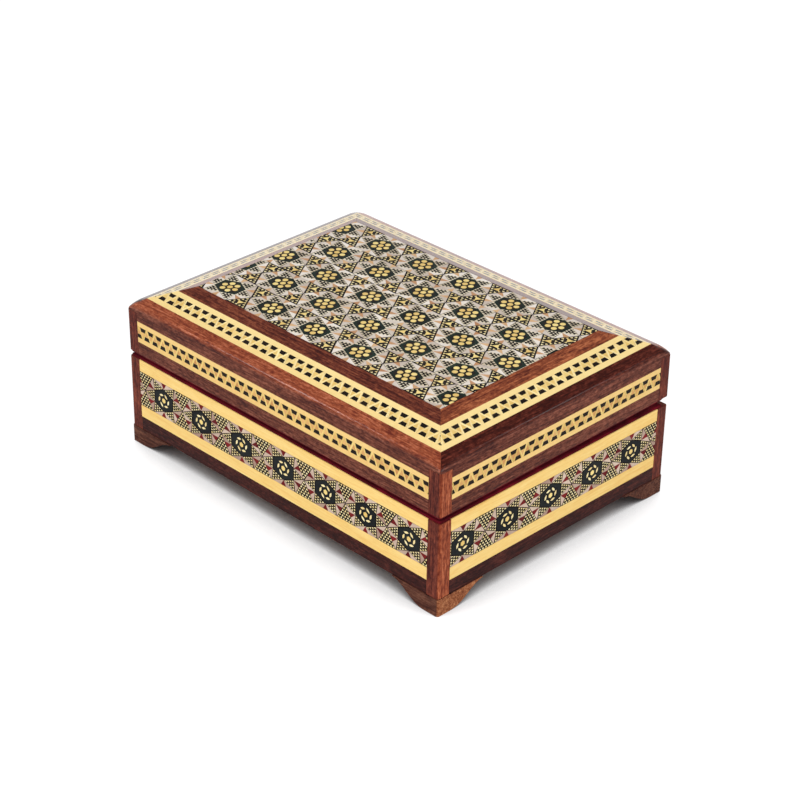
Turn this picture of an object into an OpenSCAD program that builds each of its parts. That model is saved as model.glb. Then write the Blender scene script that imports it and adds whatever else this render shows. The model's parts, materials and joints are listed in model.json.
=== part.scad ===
// Hinged wooden box with marquetry panels, banded and mitred lid, bracket feet,
// velvet lining and two small butt hinges at the back.
// +X runs along the long side, -Y is the front, +Z is up, z = 0 is the floor.

/* [Box] */
// Outside length of the box
box_l = 150; // [130:1:180]
// Outside width of the box, front to hinge side
box_w = 109; // [95:1:130]
// Thickness of the veneers and strips glued round the base carcass
skin_t = 1.5; // [1.2:0.1:2]
// Thickness of the base carcass boards
wall_t = 5; // [4.6:0.1:6]
// Width of the corner posts, seen on each face
post_w = 5.1; // [4.4:0.1:5.8]
// Radius on the outer edge of the corner posts
post_r = 0.9; // [0.4:0.1:1.4]

/* [Base] */
// Height of the bracket feet
foot_h = 6.3; // [5.5:0.1:9]
// Flat sole of a foot along each side
sole_l = 5.3; // [4:0.1:9]
// Radius of the round that rises from the sole
foot_round_r = 12.7; // [9:0.1:15]
// Radius of the hollow that runs out under the plinth
foot_hollow_r = 11.2; // [8:0.1:14]
// Slope of the straight between the round and the hollow, in degrees
foot_slope = 33; // [28:1:38]
// Thickness of the two wings of a foot
foot_t = 6; // [4:0.5:7]
// How far the feet stand proud of the posts
foot_proud = 0.2; // [0:0.1:0.6]
// Height of the dark plinth rail
plinth_h = 5.3; // [4:0.1:8]
// Height of the light wood strip under the mosaic
low_strip_h = 4.6; // [3:0.1:6]
// Height of the mosaic panel
panel_h = 13.4; // [11:0.1:18]
// Height of the light wood strip at the rim
rim_strip_h = 4.4; // [3:0.1:6]
// Thickness of the bottom board
floor_t = 3; // [2:0.5:4]

/* [Lid] */
// Height of the lid from its rim to the flat mosaic field
lid_h = 24.5; // [22:0.1:30]
// Thickness of the lid frame at its rim
frame_t = 6.5; // [6.2:0.1:8]
// Height of the frame below the side banding
lid_rail_h = 4.8; // [3:0.1:5.2]
// Height of the side banding
side_band_h = 7.9; // [6:0.1:8.2]
// Slope of the top of the lid frame, in degrees
frame_slope = 21; // [15:1:25]
// Radius of the shoulder between the side and the sloping top
shoulder_r = 3; // [2:0.1:4]
// Width of the rosewood shoulder in plan, out to the banding
shoulder_w = 4.9; // [4.2:0.1:6]
// Width of the top banding in plan
top_band_w = 7.6; // [6:0.1:9]
// Width of the inner rosewood border in plan
border_w = 4.9; // [3:0.1:7]
// Thickness of the bandings, the border and the mosaic field
inlay_t = 1.2; // [0.8:0.1:1.5]
// Height of the ceiling inside the lid above the lid rim
ceiling_z = 15.2; // [14:0.1:16]

/* [Marquetry] */
// Number of mosaic strips side by side in the top field
field_strips = 5; // [4:1:6]
// Length of a star block along the strips of the top field
field_block_l = 21.2; // [19:0.1:23]
// Length of a star block along the side panels
panel_block_l = 20; // [18:0.1:22]
// Distance of the end tips of a star from the joint of two blocks
star_tip_gap = 0.5; // [0.3:0.1:1]
// Ground left between the stars and the edges of their strip
star_margin = 0.15; // [0.1:0.05:0.4]
// Radius of the inner corners of a star as a share of its tips
star_waist = 0.57; // [0.5:0.01:0.62]
// Width of the dark triangles between the stars
fill_w = 9; // [7:0.1:10]
// Radius of the round seeds in the stars
seed_r = 1.05; // [0.7:0.05:1.2]
// Distance of the outer seeds from the middle of a star
seed_ring_r = 2.6; // [2.5:0.05:2.8]
// Width of the light line along each edge of a banding
band_line = 2.1; // [1.5:0.1:2.4]
// Distance between the black chips along a banding
chip_pitch = 4.25; // [3.8:0.05:5]
// Width of a chip on the light line
chip_base = 2.9; // [2:0.1:3.2]
// Width of a chip at its narrow end
chip_end = 1.9; // [1:0.1:2.4]
// Height of a chip above the light line
chip_h = 1.1; // [0.6:0.1:1.3]

/* [Hinges] */
// Gap between the wooden rims at the hinge side
back_gap = 3.3; // [3:0.1:3.8]
// Gap between the wooden rims at the front
front_gap = 2.3; // [2:0.1:2.6]
// Distance of the hinge pins in from the back face
pin_inset = 1.35; // [1.3:0.05:1.6]
// Radius of the hinge pins
pin_r = 0.6; // [0.5:0.05:0.7]
// Radial running clearance between pin and knuckle
pin_play = 0.05; // [0.02:0.01:0.08]
// Outside radius of the knuckles
knuckle_r = 1.25; // [1.1:0.05:1.3]
// Length of each hinge along the box
hinge_l = 14; // [10:1:20]
// Distance between the middles of the two hinges
hinge_spacing = 84; // [60:1:100]
// Side clearance between neighbouring knuckles
knuckle_gap = 0.2; // [0.1:0.05:0.4]
// Thickness of the hinge leaves
leaf_t = 0.7; // [0.5:0.1:0.8]
// Depth of the hinge leaves from the pin towards the inside of the box
leaf_d = 4.7; // [4:0.1:5]
// Radius of the nail shanks
nail_r = 0.5; // [0.4:0.05:0.6]
// Radius of the nail heads
nail_head_r = 1; // [0.8:0.05:1.2]
// Thickness of the nail heads
nail_head_t = 0.35; // [0.25:0.05:0.45]
// Length of the nails under the head
nail_l = 6; // [4:0.5:8]

/* [Lining] */
// Thickness of the velvet lining
velvet_t = 0.8; // [0.5:0.1:0.9]
// Thickness of the padded floor and ceiling
pad_t = 1.2; // [0.8:0.1:2]
// Distance of the velvet on the rims in from the outer faces
velvet_inset = 0.4; // [0.2:0.1:1]
// Clearance of the velvet round the hinges
velvet_clear = 0.3; // [0.2:0.1:0.6]

/* [Hidden] */

$fn = 64;
eps = 0.01;

// The sides in turn, each a quarter turn on from the one before
SIDES = ["front", "right", "back", "left"];
function turns(side) = search([side], SIDES)[0];
function is_long(side) = turns(side)%2 == 0;

// Heights in the base
plinth_z = foot_h;
low_strip_z = plinth_z + plinth_h;
panel_z = low_strip_z + low_strip_h;
rim_strip_z = panel_z + panel_h;
rim_z = rim_strip_z + rim_strip_h;
floor_top_z = foot_h + floor_t;

// Hinge axis and the small angle at which the closed lid settles to the front
pin_y = box_w/2 - pin_inset;
pin_z = rim_z + back_gap/2;
settle = atan((back_gap - front_gap)/box_w);

// Heights in the lid, measured from its rim
side_band_z = lid_rail_h;
field_inset = shoulder_w + top_band_w + border_w;
border_inset = shoulder_w + top_band_w;
slope_rise = tan(frame_slope);
band_edge_z = lid_h - (field_inset - shoulder_w)*slope_rise;
arc_end_inset = shoulder_r*(1 - sin(frame_slope));
arc_end_z = band_edge_z - (shoulder_w - arc_end_inset)*slope_rise;
shoulder_z = arc_end_z - shoulder_r*cos(frame_slope);

// Lower edge of a foot: a round that rises from the sole, a straight and a hollow, which ends
// at a small slope and short of a knife edge
foot_tip = 0.35;
foot_end_slope = 7;
round_end = [sole_l + foot_round_r*sin(foot_slope), foot_round_r*(1 - cos(foot_slope))];
hollow_rise = foot_hollow_r*(cos(foot_end_slope) - cos(foot_slope));
straight_rise = foot_h - foot_tip - round_end.y - hollow_rise;
hollow_start = round_end + straight_rise*[1/tan(foot_slope), 1];
hollow_middle = hollow_start + foot_hollow_r*[sin(foot_slope), -cos(foot_slope)];
foot_l = hollow_middle.x - foot_hollow_r*sin(foot_end_slope);

// Clear rectangle of the top field, and how far its strips and the side panels are shifted
field_l = box_l - 2*field_inset;
field_w = box_w - 2*field_inset;
strip_w = field_w/field_strips;
strip_shift = [-7.5, 3, 8.5, -2, 3.5, -9];
panel_shift = [2.5, -3.5, -7, 6.5];

// Width of the sloping top banding, measured on the slope
top_band_slant = top_band_w/cos(frame_slope);

wood_light = [0.98, 0.83, 0.5];
wood_rose = [0.36, 0.16, 0.12];
wood_post = [0.5, 0.22, 0.15];
wood_foot = [0.58, 0.35, 0.22];
wood_core = [0.72, 0.55, 0.36];
wood_pale = [0.82, 0.74, 0.6];
wood_dark = [0.1, 0.11, 0.1];
velvet = [0.3, 0.01, 0.07];
brass = [0.78, 0.6, 0.28];

// Length and depth of the box as seen from one of its four sides
function run_l(side) = is_long(side) ? box_l : box_w;
function run_d(side) = is_long(side) ? box_w : box_l;
// Half the length of what lies between the corner posts
function half_run(side) = run_l(side)/2 - post_w;
// Height of the lid surface at a distance in from the outer face
function slope_z(inset) = band_edge_z + (inset - shoulder_w)*slope_rise;

// Turns a piece drawn at the front to one of the four sides
module at_side(side) {
    rotate([0, 0, 90*turns(side)])
        translate([0, -run_d(side)/2, 0])
            children();
}

// Turns a piece drawn at the front left corner, as seen from that side, to its corner
module at_corner(side) {
    at_side(side)
        translate([-run_l(side)/2, 0, 0])
            children();
}

// Stands a section (inset from the face, height) up and runs it along X
module run(length) {
    translate([-length/2, 0, 0])
        rotate([90, 0, 90])
            linear_extrude(length)
                children();
}

// Cuts both ends of a run at 45 degrees in plan
module mitred(side) {
    half = run_l(side)/2;
    depth = field_inset + frame_t;
    intersection() {
        run(2*half) children();
        translate([0, 0, -lid_h])
            linear_extrude(3*lid_h)
                polygon([[-half, 0], [half, 0], [half - depth, depth], [depth - half, depth]]);
    }
}

// A strip let in or glued on between the corner posts
module strip(side, bottom, height, thickness) {
    translate([-half_run(side), 0, bottom])
        cube([2*half_run(side), thickness, height]);
}

// Stands a plan, drawn with y up, against the outer face
module on_face(bottom, thickness) {
    translate([0, thickness, bottom])
        rotate([90, 0, 0])
            linear_extrude(thickness)
                children();
}

// What rounding an outer edge at the origin takes away, in plan
module edge_waste() {
    difference() {
        translate([-eps, -eps]) square(post_r + eps);
        translate([post_r, post_r]) circle(post_r);
    }
}

// Plan of a corner post with its outer edge rounded
module post_plan() {
    difference() {
        square(post_w);
        edge_waste();
    }
}

// Places the lid, drawn with its rim at z = 0, on the hinge axis and settles it
module on_lid() {
    translate([0, pin_y, pin_z])
        rotate([settle, 0, 0])
            translate([0, -pin_y, back_gap/2])
                children();
}

// The two hinge places along the back
module at_hinges() {
    for (side = [-1, 1])
        translate([side*hinge_spacing/2, 0, 0])
            children();
}

// The two nail places of each leaf
nail_x = hinge_l/3;
nail_y = pin_y - knuckle_r - (leaf_d - knuckle_r)/2;
module at_nails() {
    at_hinges()
        for (side = [-1, 1])
            translate([side*nail_x, nail_y, 0])
                children();
}

/* ---- marquetry ---- */

// Six-pointed star, stretched along its strip so that its tips reach the edges of the block
function star(block_l, height) =
    let (tip_r = (height/2 - star_margin)/cos(30),
         stretch = (block_l/2 - star_tip_gap)/tip_r)
    [for (k = [0:11])
        let (r = k%2 == 0 ? tip_r : star_waist*tip_r)
        [stretch*r*cos(30*k), r*sin(30*k)]];

// A seed in the middle of a star and one towards each tip
module seeds() {
    circle(seed_r);
    for (k = [0:5])
        rotate(60*k)
            translate([seed_ring_r, 0])
                circle(seed_r);
}

// Dark pieces of a mosaic strip that starts at y = 0: stars with holes for their seeds, and
// two triangles that meet at the joint of each two blocks
module dark_pieces(half, height, block_l, shift) {
    count = ceil(half/block_l) + 1;
    intersection() {
        translate([-half, 0]) square([2*half, height]);
        for (k = [-count:count])
            translate([shift + k*block_l, height/2]) {
                difference() {
                    polygon(star(block_l, height));
                    seeds();
                }
                for (up = [-1, 1])
                    polygon([[block_l/2, up*star_margin],
                             [(block_l - fill_w)/2, up*(height/2 - star_margin)],
                             [(block_l + fill_w)/2, up*(height/2 - star_margin)]]);
            }
    }
}

// Dark pieces of one side panel
module panel_dark(side) {
    dark_pieces(half_run(side), panel_h, panel_block_l, panel_shift[turns(side)]);
}

// Dark pieces of the top field, one strip behind the other
module field_dark() {
    for (k = [0:field_strips - 1])
        translate([0, k*strip_w - field_w/2])
            dark_pieces(field_l/2, strip_w, field_block_l, strip_shift[k]);
}

// One chip of a banding, standing on its light line
module chip() {
    polygon([[-chip_base/2, 0], [chip_base/2, 0], [chip_end/2, chip_h], [-chip_end/2, chip_h]]);
}

// Chips of a banding of the given width, in two rows that stand half a pitch apart.
// Each row holds the whole chips that fit between -lower_half or -upper_half and its opposite.
module chips(width, lower_half, upper_half) {
    lower_count = floor((lower_half - chip_base/2)/chip_pitch);
    upper_count = floor((upper_half - chip_base/2)/chip_pitch - 0.5);
    for (k = [-lower_count:lower_count])
        translate([k*chip_pitch, band_line]) chip();
    for (k = [-upper_count - 1:upper_count])
        translate([(k + 0.5)*chip_pitch, width - band_line])
            mirror([0, 1]) chip();
}

// Prisms through the side banding
module side_chips(side) {
    on_face(side_band_z, inlay_t)
        chips(side_band_h, half_run(side), half_run(side));
}

// Prisms square to the slope, through the top banding
module slope_chips(side) {
    outer = run_l(side)/2 - shoulder_w;
    line_w = band_line*cos(frame_slope);
    translate([0, shoulder_w, band_edge_z])
        rotate([frame_slope, 0, 0])
            translate([0, 0, -inlay_t])
                linear_extrude(2*inlay_t)
                    chips(top_band_slant, outer - line_w - chip_h, outer - top_band_w + line_w);
}

/* ---- base ---- */

module base_wall(side) {
    // The walls along the box run through, and the ones across stand between them
    length = run_l(side) - 2*skin_t - (is_long(side) ? 0 : 2*wall_t);
    color(wood_core)
        difference() {
            at_side(side)
                difference() {
                    translate([-length/2, skin_t, foot_h])
                        cube([length, wall_t, rim_z - foot_h]);
                    if (is_long(side))
                        for (end = [-1, 1])
                            translate([end*run_l(side)/2, 0, rim_z/2])
                                cube([2*post_w, 2*post_w, 2*rim_z], center = true);
                }
            if (side == "back")
                translate([0, 0, rim_z - nail_l])
                    at_nails() cylinder(r = nail_r, h = nail_l + eps);
        }
}

module base_floor() {
    inset = skin_t + wall_t;
    color(wood_core)
        translate([inset - box_l/2, inset - box_w/2, foot_h])
            cube([box_l - 2*inset, box_w - 2*inset, floor_t]);
}

module base_post(side) {
    color(wood_post)
        at_corner(side)
            translate([0, 0, foot_h])
                linear_extrude(rim_z - foot_h)
                    post_plan();
}

// Outline of one wing of a foot, from the corner along the side
module foot_outline() {
    square([sole_l, foot_h]);
    intersection() {
        square([round_end.x, foot_h]);
        translate([sole_l, foot_round_r]) circle(foot_round_r);
    }
    difference() {
        polygon([round_end, hollow_start, [foot_l, hollow_start.y], [foot_l, foot_h],
                 [round_end.x, foot_h]]);
        translate(hollow_middle) circle(foot_hollow_r);
    }
}

module foot(side) {
    color(wood_foot)
        at_corner(side)
            translate([-foot_proud, -foot_proud, 0])
                difference() {
                    union() {
                        translate([0, foot_t, 0])
                            rotate([90, 0, 0])
                                linear_extrude(foot_t) foot_outline();
                        rotate([90, 0, 90])
                            linear_extrude(foot_t) foot_outline();
                    }
                    translate([0, 0, -eps])
                        linear_extrude(foot_h + 2*eps) edge_waste();
                }
}

module plinth(side) {
    color(wood_rose)
        at_side(side) strip(side, plinth_z, plinth_h, skin_t);
}

module light_strips(side) {
    color(wood_light)
        at_side(side) {
            strip(side, low_strip_z, low_strip_h, skin_t);
            strip(side, rim_strip_z, rim_strip_h, skin_t);
        }
}

// Pale ground of a side panel and the seeds in its stars
module mosaic_panel(side) {
    color(wood_pale)
        at_side(side)
            on_face(panel_z, skin_t)
                difference() {
                    translate([-half_run(side), 0]) square([2*half_run(side), panel_h]);
                    panel_dark(side);
                }
}

module panel_stars() {
    color(wood_dark)
        for (side = SIDES)
            at_side(side)
                on_face(panel_z, skin_t) panel_dark(side);
}

/* ---- lining ---- */

// Velvet on four walls with a lip over their rim, drawn with the rim at z = 0.
// reach is where the walls stop, up or down, and wall is what the velvet covers.
module lining(wall, reach, lip) {
    inside_l = box_l - 2*wall;
    inside_w = box_w - 2*wall;
    back_edge = pin_y - knuckle_r - velvet_clear;
    front_edge = velvet_inset - box_w/2;
    low = min(reach, 0);
    difference() {
        union() {
            translate([-inside_l/2, -inside_w/2, low])
                cube([inside_l, inside_w, abs(reach)]);
            translate([velvet_inset - box_l/2, front_edge, min(lip, 0)])
                cube([box_l - 2*velvet_inset, back_edge - front_edge, abs(lip)]);
        }
        translate([velvet_t - inside_l/2, velvet_t - inside_w/2, -2*abs(reach)])
            cube([inside_l - 2*velvet_t, inside_w - 2*velvet_t, 4*abs(reach)]);
        at_hinges()
            translate([0, pin_y - leaf_d/2, 0])
                cube([hinge_l + 2*velvet_clear, leaf_d + 2*velvet_clear, 4*velvet_t], center = true);
    }
}

module base_lining() {
    color(velvet)
        translate([0, 0, rim_z])
            lining(skin_t + wall_t, floor_top_z - rim_z, velvet_t);
}

module floor_pad() {
    inset = skin_t + wall_t + velvet_t;
    color(velvet)
        translate([inset - box_l/2, inset - box_w/2, floor_top_z])
            cube([box_l - 2*inset, box_w - 2*inset, pad_t]);
}

module lid_lining() {
    color(velvet)
        on_lid() lining(frame_t, ceiling_z, -velvet_t);
}

module ceiling_pad() {
    inset = frame_t + velvet_t;
    color(velvet)
        on_lid()
            translate([inset - box_l/2, inset - box_w/2, ceiling_z - pad_t])
                cube([box_l - 2*inset, box_w - 2*inset, pad_t]);
}

/* ---- lid ---- */

// Section of the lid frame: straight side, round shoulder, sloping bed for the banding
module frame_section() {
    bed_z = slope_z(frame_t) - inlay_t;
    polygon([[0, 0], [frame_t, 0], [frame_t, bed_z], [shoulder_w, band_edge_z - inlay_t],
             [shoulder_w, band_edge_z], [arc_end_inset, arc_end_z], [0, shoulder_z]]);
    intersection() {
        translate([shoulder_r, shoulder_z]) circle(shoulder_r);
        translate([0, shoulder_z - eps]) square([arc_end_inset, shoulder_r]);
    }
}

// One rail of the lid frame, cut out for its banding and posts, with its outer edges rounded
module lid_frame(side) {
    color(wood_rose)
        on_lid()
            difference() {
                at_side(side)
                    difference() {
                        mitred(side) frame_section();
                        strip(side, side_band_z, side_band_h, inlay_t);
                        for (end = [0, 1])
                            mirror([end, 0, 0])
                                translate([-run_l(side)/2, 0, 0]) {
                                    cube([2*post_w, 2*post_w, 2*shoulder_z], center = true);
                                    linear_extrude(lid_h) edge_waste();
                                }
                    }
                if (side == "back")
                    at_nails() cylinder(r = nail_r, h = nail_l);
            }
}

module lid_post(side) {
    color(wood_post)
        on_lid()
            at_corner(side)
                linear_extrude(shoulder_z)
                    post_plan();
}

module side_band(side) {
    color(wood_light)
        on_lid()
            at_side(side)
                difference() {
                    strip(side, side_band_z, side_band_h, inlay_t);
                    side_chips(side);
                }
}

module side_band_chips() {
    color(wood_dark)
        on_lid()
            for (side = SIDES)
                at_side(side) side_chips(side);
}

// Board under the top, bevelled to the slope of the frame
module lid_board() {
    top_z = lid_h - inlay_t;
    edge_z = slope_z(frame_t) - inlay_t;
    half_l = box_l/2 - frame_t;
    half_w = box_w/2 - frame_t;
    bevel = field_inset - frame_t;
    color(wood_core)
        on_lid()
            intersection() {
                run(2*half_l)
                    polygon([[-half_w, ceiling_z], [half_w, ceiling_z], [half_w, edge_z],
                             [half_w - bevel, top_z], [bevel - half_w, top_z], [-half_w, edge_z]]);
                rotate([0, 0, 90])
                    run(2*half_w)
                        polygon([[-half_l, ceiling_z], [half_l, ceiling_z], [half_l, edge_z],
                                 [half_l - bevel, top_z], [bevel - half_l, top_z],
                                 [-half_l, edge_z]]);
            }
}

// Section of a strip that lies on the slope between two insets
module slope_section(from, to) {
    polygon([[from, slope_z(from)], [to, slope_z(to)],
             [to, slope_z(to) - inlay_t], [from, slope_z(from) - inlay_t]]);
}

module top_band(side) {
    color(wood_light)
        on_lid()
            at_side(side)
                difference() {
                    mitred(side) slope_section(shoulder_w, border_inset);
                    slope_chips(side);
                }
}

module top_band_chips() {
    color(wood_dark)
        on_lid()
            for (side = SIDES)
                at_side(side)
                    intersection() {
                        mitred(side) slope_section(shoulder_w, border_inset);
                        slope_chips(side);
                    }
}

module top_border(side) {
    color(wood_rose)
        on_lid()
            at_side(side)
                mitred(side) slope_section(border_inset, field_inset);
}

// Pale ground of the top field and the seeds in its stars
module mosaic_top() {
    color(wood_pale)
        on_lid()
            translate([0, 0, lid_h - inlay_t])
                linear_extrude(inlay_t)
                    difference() {
                        square([field_l, field_w], center = true);
                        field_dark();
                    }
}

module field_stars() {
    color(wood_dark)
        on_lid()
            translate([0, 0, lid_h - inlay_t])
                linear_extrude(inlay_t) field_dark();
}

/* ---- hinges ---- */

// One leaf drawn with the pin axis on X and the wood at z = -back_gap/2
module leaf(knuckles) {
    bore_r = pin_r + pin_play;
    difference() {
        union() {
            translate([-hinge_l/2, -leaf_d, -back_gap/2])
                cube([hinge_l, leaf_d - knuckle_r/2, leaf_t]);
            for (span = knuckles) {
                translate([span[0], 0, 0])
                    rotate([0, 90, 0])
                        cylinder(r = knuckle_r, h = span[1] - span[0]);
                translate([span[0], -knuckle_r, -back_gap/2])
                    cube([span[1] - span[0], knuckle_r, back_gap/2 - bore_r]);
            }
        }
        translate([-hinge_l, 0, 0])
            rotate([0, 90, 0])
                cylinder(r = bore_r, h = 2*hinge_l);
        for (side = [-1, 1])
            translate([side*nail_x, nail_y - pin_y, -back_gap])
                cylinder(r = nail_r, h = back_gap);
        for (gap = knuckle_gaps(knuckles))
            translate([gap[0], -knuckle_r - knuckle_gap, -back_gap])
                cube([gap[1] - gap[0], 3*knuckle_r, 2*back_gap]);
    }
}

middle = hinge_l/6;
outer_knuckles = [[-hinge_l/2, -middle - knuckle_gap/2], [middle + knuckle_gap/2, hinge_l/2]];
middle_knuckle = [[-middle + knuckle_gap/2, middle - knuckle_gap/2]];
// Spans of a leaf that its own knuckles leave to the other leaf
function knuckle_gaps(knuckles) = len(knuckles) == 2
    ? [[-middle - knuckle_gap/2, middle + knuckle_gap/2]]
    : [[-hinge_l, -middle + knuckle_gap/2], [middle - knuckle_gap/2, hinge_l]];

module hinge_leaves_lower() {
    color(brass)
        translate([0, pin_y, pin_z])
            at_hinges() leaf(outer_knuckles);
}

module hinge_leaves_upper() {
    color(brass)
        translate([0, pin_y, pin_z])
            rotate([settle, 0, 0])
                at_hinges()
                    mirror([0, 0, 1]) leaf(middle_knuckle);
}

module hinge_pins() {
    color(brass)
        translate([0, pin_y, pin_z])
            at_hinges()
                rotate([0, 90, 0])
                    cylinder(r = pin_r, h = hinge_l, center = true);
}

// A nail pointing down with the underside of its head at z = 0
module nail() {
    translate([0, 0, -nail_l]) cylinder(r = nail_r, h = nail_l + eps);
    cylinder(r = nail_head_r, h = nail_head_t);
}

module base_nails() {
    color(brass)
        translate([0, 0, rim_z + leaf_t])
            at_nails() nail();
}

module lid_nails() {
    color(brass)
        on_lid()
            translate([0, 0, -leaf_t])
                at_nails()
                    mirror([0, 0, 1]) nail();
}

base_wall("front");  // base_wall_front
base_wall("right");  // base_wall_right
base_wall("back");  // base_wall_back
base_wall("left");  // base_wall_left
base_floor();
base_post("front");  // base_post_front_left
base_post("right");  // base_post_front_right
base_post("back");  // base_post_back_right
base_post("left");  // base_post_back_left
foot("front");  // foot_front_left
foot("right");  // foot_front_right
foot("back");  // foot_back_right
foot("left");  // foot_back_left
plinth("front");  // plinth_front
plinth("right");  // plinth_right
plinth("back");  // plinth_back
plinth("left");  // plinth_left
light_strips("front");  // light_strips_front
light_strips("right");  // light_strips_right
light_strips("back");  // light_strips_back
light_strips("left");  // light_strips_left
mosaic_panel("front");  // mosaic_front
mosaic_panel("right");  // mosaic_right
mosaic_panel("back");  // mosaic_back
mosaic_panel("left");  // mosaic_left
panel_stars();
base_lining();
floor_pad();
lid_frame("front");  // lid_frame_front
lid_frame("right");  // lid_frame_right
lid_frame("back");  // lid_frame_back
lid_frame("left");  // lid_frame_left
lid_post("front");  // lid_post_front_left
lid_post("right");  // lid_post_front_right
lid_post("back");  // lid_post_back_right
lid_post("left");  // lid_post_back_left
side_band("front");  // side_band_front
side_band("right");  // side_band_right
side_band("back");  // side_band_back
side_band("left");  // side_band_left
side_band_chips();
lid_board();
top_band("front");  // top_band_front
top_band("right");  // top_band_right
top_band("back");  // top_band_back
top_band("left");  // top_band_left
top_band_chips();
top_border("front");  // top_border_front
top_border("right");  // top_border_right
top_border("back");  // top_border_back
top_border("left");  // top_border_left
mosaic_top();
field_stars();
lid_lining();
ceiling_pad();
hinge_leaves_lower();
hinge_leaves_upper();
hinge_pins();
base_nails();
lid_nails();
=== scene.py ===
"""Looks of the hinged marquetry box: eased woods, mosaic rods, bandings, velvet and brass."""

import json
import math
import random

import bmesh
import bpy
from mathutils import Matrix, Vector

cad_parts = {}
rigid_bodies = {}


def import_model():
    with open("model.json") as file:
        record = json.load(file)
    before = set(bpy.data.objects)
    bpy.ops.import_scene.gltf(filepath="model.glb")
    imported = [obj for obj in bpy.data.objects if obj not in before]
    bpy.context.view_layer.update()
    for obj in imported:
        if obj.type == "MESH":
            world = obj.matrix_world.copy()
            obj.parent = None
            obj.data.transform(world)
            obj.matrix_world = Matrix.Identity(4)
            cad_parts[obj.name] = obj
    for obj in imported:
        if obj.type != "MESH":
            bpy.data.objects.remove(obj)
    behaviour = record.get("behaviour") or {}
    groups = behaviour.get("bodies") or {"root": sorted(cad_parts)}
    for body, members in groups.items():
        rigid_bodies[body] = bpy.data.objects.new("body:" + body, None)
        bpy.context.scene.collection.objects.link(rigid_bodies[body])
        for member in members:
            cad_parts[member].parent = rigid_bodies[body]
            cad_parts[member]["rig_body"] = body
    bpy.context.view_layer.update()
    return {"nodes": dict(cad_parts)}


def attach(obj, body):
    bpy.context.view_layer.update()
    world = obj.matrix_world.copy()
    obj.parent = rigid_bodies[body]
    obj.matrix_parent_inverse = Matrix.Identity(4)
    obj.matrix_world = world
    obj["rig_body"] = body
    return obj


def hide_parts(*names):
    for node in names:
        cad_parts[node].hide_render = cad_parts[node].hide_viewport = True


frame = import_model()
nodes = frame["nodes"]

# ---- sizes of the CAD source, in mm ----
MM = 0.001
BOX_L, BOX_W = 150.0, 109.0
SKIN_T, POST_W, INLAY_T = 1.5, 5.1, 1.2
PANEL_Z, PANEL_H = 16.2, 13.4
RIM_Z, FLOOR_TOP = 34.0, 9.3
LID_H, BAND_Z, BAND_H = 24.5, 4.8, 7.9
SLOPE = math.radians(21)
SHOULDER_W, BORDER_INSET, FIELD_INSET = 4.9, 12.5, 17.4
SHOULDER_R, CORNER_R = 3.0, 4.2
WALL, LID_WALL, CEILING_Z = 6.5, 6.5, 15.2
VELVET_T, VELVET_INSET, PAD_T = 0.8, 0.4, 1.2
BACK_GAP, FRONT_GAP, PIN_INSET = 3.3, 2.3, 1.35
KNUCKLE_R, LEAF_D, HINGE_L, HINGE_X, VELVET_CLEAR = 1.25, 4.7, 14.0, 42.0, 0.3
PIN_Y, PIN_Z = BOX_W / 2 - PIN_INSET, RIM_Z + BACK_GAP / 2
SETTLE = math.atan((BACK_GAP - FRONT_GAP) / BOX_W)  # how far the closed lid leans forwards
BAND_EDGE_Z = LID_H - (FIELD_INSET - SHOULDER_W) * math.tan(SLOPE)

SIDES = ("front", "right", "back", "left")
CORNERS = ("front_left", "front_right", "back_right", "back_left")
ON_LID = (
    Matrix.Translation((0, PIN_Y, PIN_Z))
    @ Matrix.Rotation(SETTLE, 4, "X")
    @ Matrix.Translation((0, -PIN_Y, BACK_GAP / 2))
)


def run_l(side):
    return BOX_L if side % 2 == 0 else BOX_W


def at_side(side):
    """Turns what is drawn at the front, with Y inwards, to one of the four sides."""
    depth = BOX_W if side % 2 == 0 else BOX_L
    turned = Matrix.Rotation(math.radians(90 * side), 4, "Z")
    return turned @ Matrix.Translation((0, -depth / 2, 0))


# ---- camera, fitted to the corners of the box in the photo ----
AZIMUTH, ELEVATION, ROLL = map(math.radians, (44.8067, 29.5659, 0.986))
CAMERA_PLACE = Vector((468.3037, -468.5923, 401.6738))  # in mm
FOCAL, PHOTO_W, SENSOR_W = 2225.89, 800, 36.0  # pixels, pixels, mm
CLIP_NEAR, CLIP_FAR = 0.01, 20


def make_camera():
    back = Vector((math.sin(AZIMUTH) * math.cos(ELEVATION),
                   -math.cos(AZIMUTH) * math.cos(ELEVATION), math.sin(ELEVATION)))
    right = Vector((math.cos(AZIMUTH), math.sin(AZIMUTH), 0))
    up = back.cross(right)
    right, up = (right * math.cos(ROLL) + up * math.sin(ROLL),
                 up * math.cos(ROLL) - right * math.sin(ROLL))
    data = bpy.data.cameras.new("camera")
    data.sensor_width = SENSOR_W
    data.lens = FOCAL / PHOTO_W * SENSOR_W
    data.clip_start, data.clip_end = CLIP_NEAR, CLIP_FAR
    camera = bpy.data.objects.new("camera", data)
    turn = Matrix((right, up, back)).transposed()
    camera.matrix_world = Matrix.Translation(CAMERA_PLACE * MM) @ turn.to_4x4()
    bpy.context.scene.collection.objects.link(camera)
    bpy.context.scene.camera = camera


make_camera()


# ---- materials ----
def colour(r, g, b):
    """A linear colour from 0-255 screen values."""
    parts = []
    for c in (r, g, b):
        c /= 255
        parts.append(c / 12.92 if c <= 0.04045 else ((c + 0.055) / 1.055) ** 2.4)
    return (*parts, 1.0)


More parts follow.
